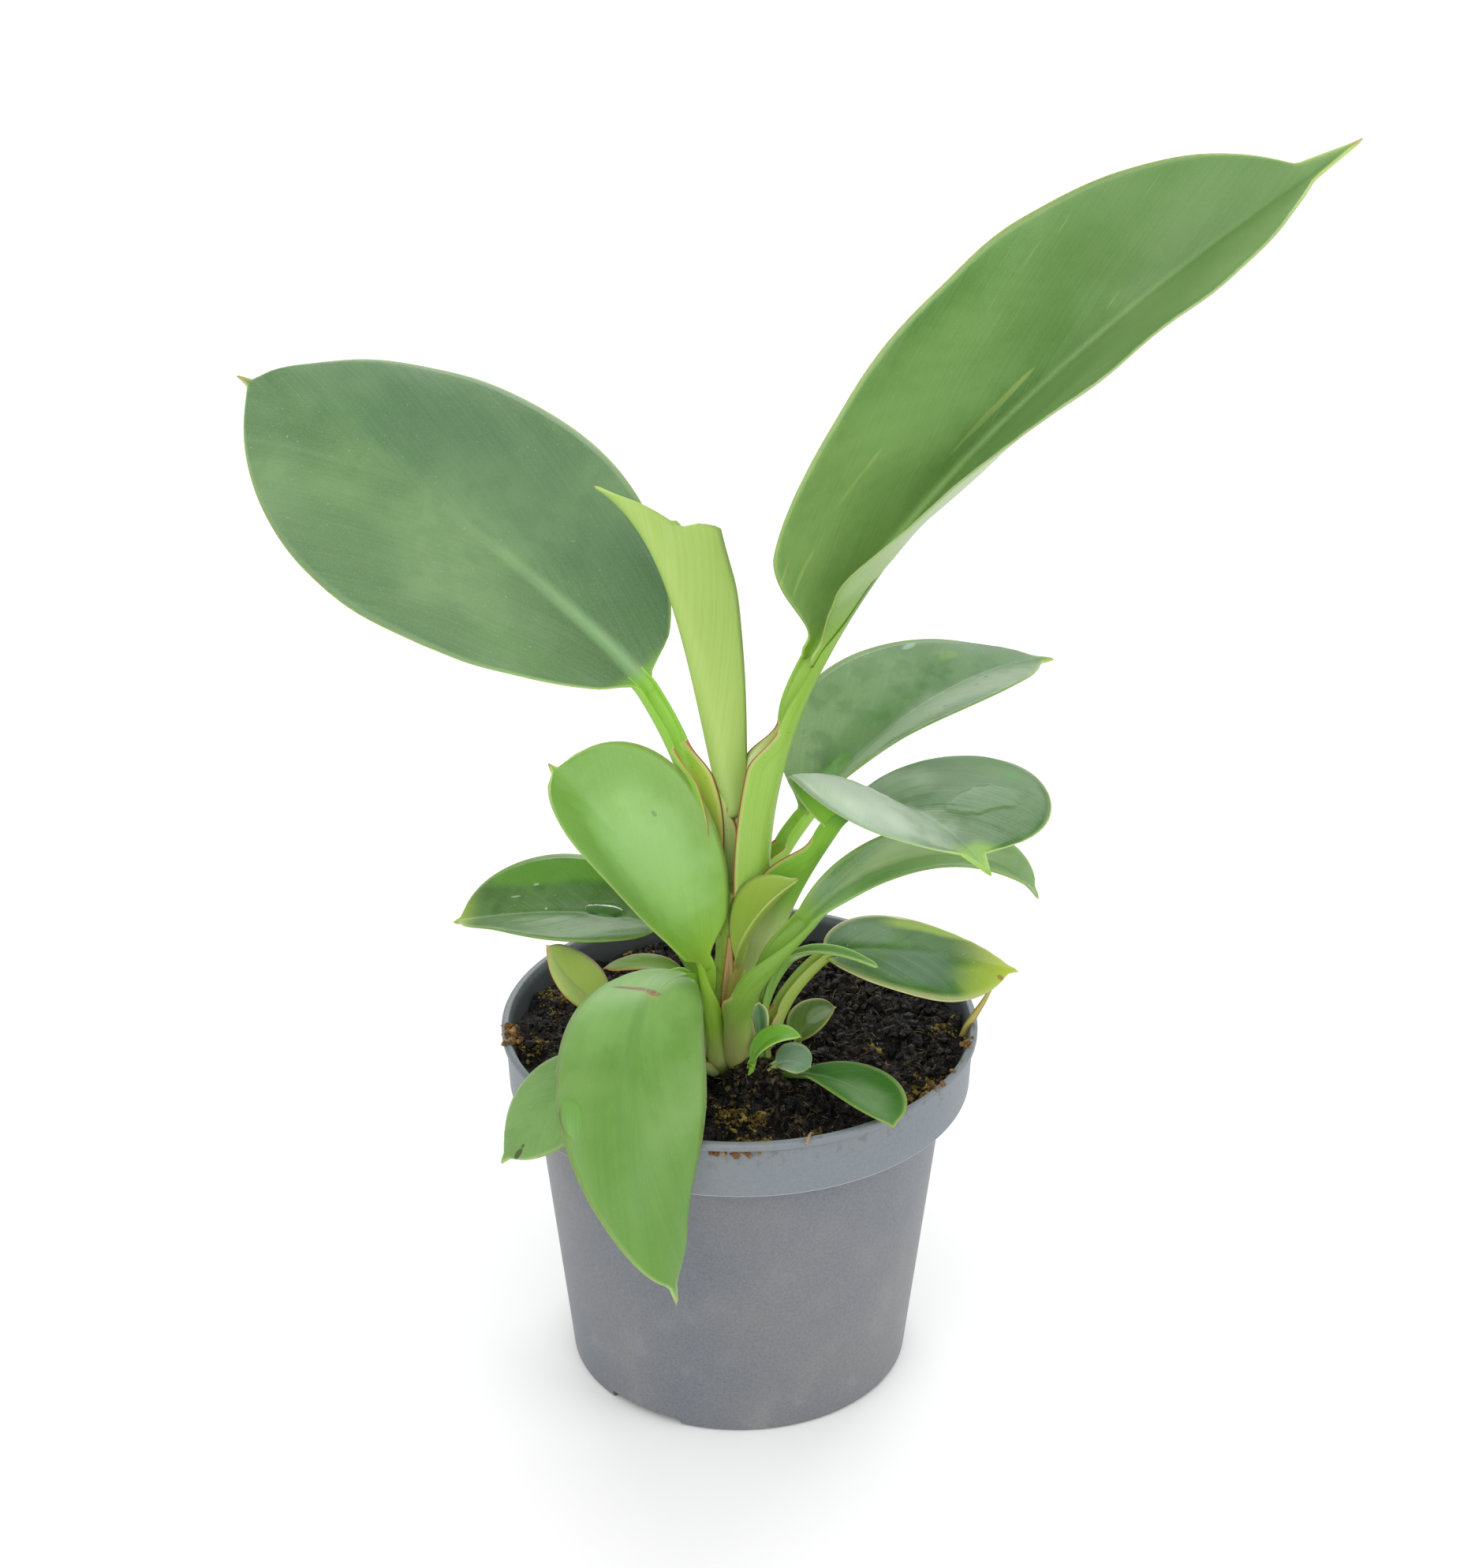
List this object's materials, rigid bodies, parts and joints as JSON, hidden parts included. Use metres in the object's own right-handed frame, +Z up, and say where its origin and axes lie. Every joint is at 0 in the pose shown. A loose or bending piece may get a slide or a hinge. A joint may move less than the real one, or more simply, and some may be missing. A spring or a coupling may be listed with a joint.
{
  "type": "potted philodendron house plant",
  "caption": "Young philodendron with arching broad and narrow leaves on a short stem, in a round tapered nursery pot filled with peat.",
  "frame": {"origin": "middle of the pot's flat underside", "axes": "+Z up through the pot; +X to the right and -Y towards the viewer of the reference picture"},
  "size_m": [0.2651, 0.1484, 0.3212],
  "materials": {
    "pot_plastic": "satin grey moulded polypropylene",
    "potting_soil": "dark crumbly peat with fibres and perlite",
    "stem_green": "smooth green stem",
    "stalk_green": "smooth yellow-green leaf stalk",
    "leaf_green": "waxy green leaf",
    "young_leaf_green": "soft light green new leaf"
  },
  "bodies": {
    "root": {"pot": "pot_plastic", "soil": "potting_soil", "stem": "stem_green", "stalk_tall_right": "stalk_green", "blade_tall_right": "leaf_green", "stalk_broad_left": "stalk_green", "blade_broad_left": "leaf_green", "stalk_new_leaf": "stalk_green", "blade_new_leaf": "young_leaf_green", "stalk_front_bright": "stalk_green", "blade_front_bright": "leaf_green", "stalk_left_dark": "stalk_green", "blade_left_dark": "leaf_green", "stalk_front_droop": "stalk_green", "blade_front_droop": "leaf_green", "stalk_rim_left": "stalk_green", "blade_rim_left": "leaf_green", "stalk_back_right": "stalk_green", "blade_back_right": "leaf_green", "stalk_glossy_right": "stalk_green", "blade_glossy_right": "leaf_green", "stalk_strap_right": "stalk_green", "blade_strap_right": "leaf_green", "stalk_low_right": "stalk_green", "blade_low_right": "leaf_green", "leaf_small_left": "leaf_green", "leaf_small_arch": "leaf_green", "leaf_small_right": "leaf_green", "leaf_front_right": "leaf_green", "bract": "leaf_green", "sprout_bright": "leaf_green", "sprout_dark": "leaf_green", "sprout_netted": "leaf_green", "sprout_upright": "leaf_green"}
  },
  "joints": []
}
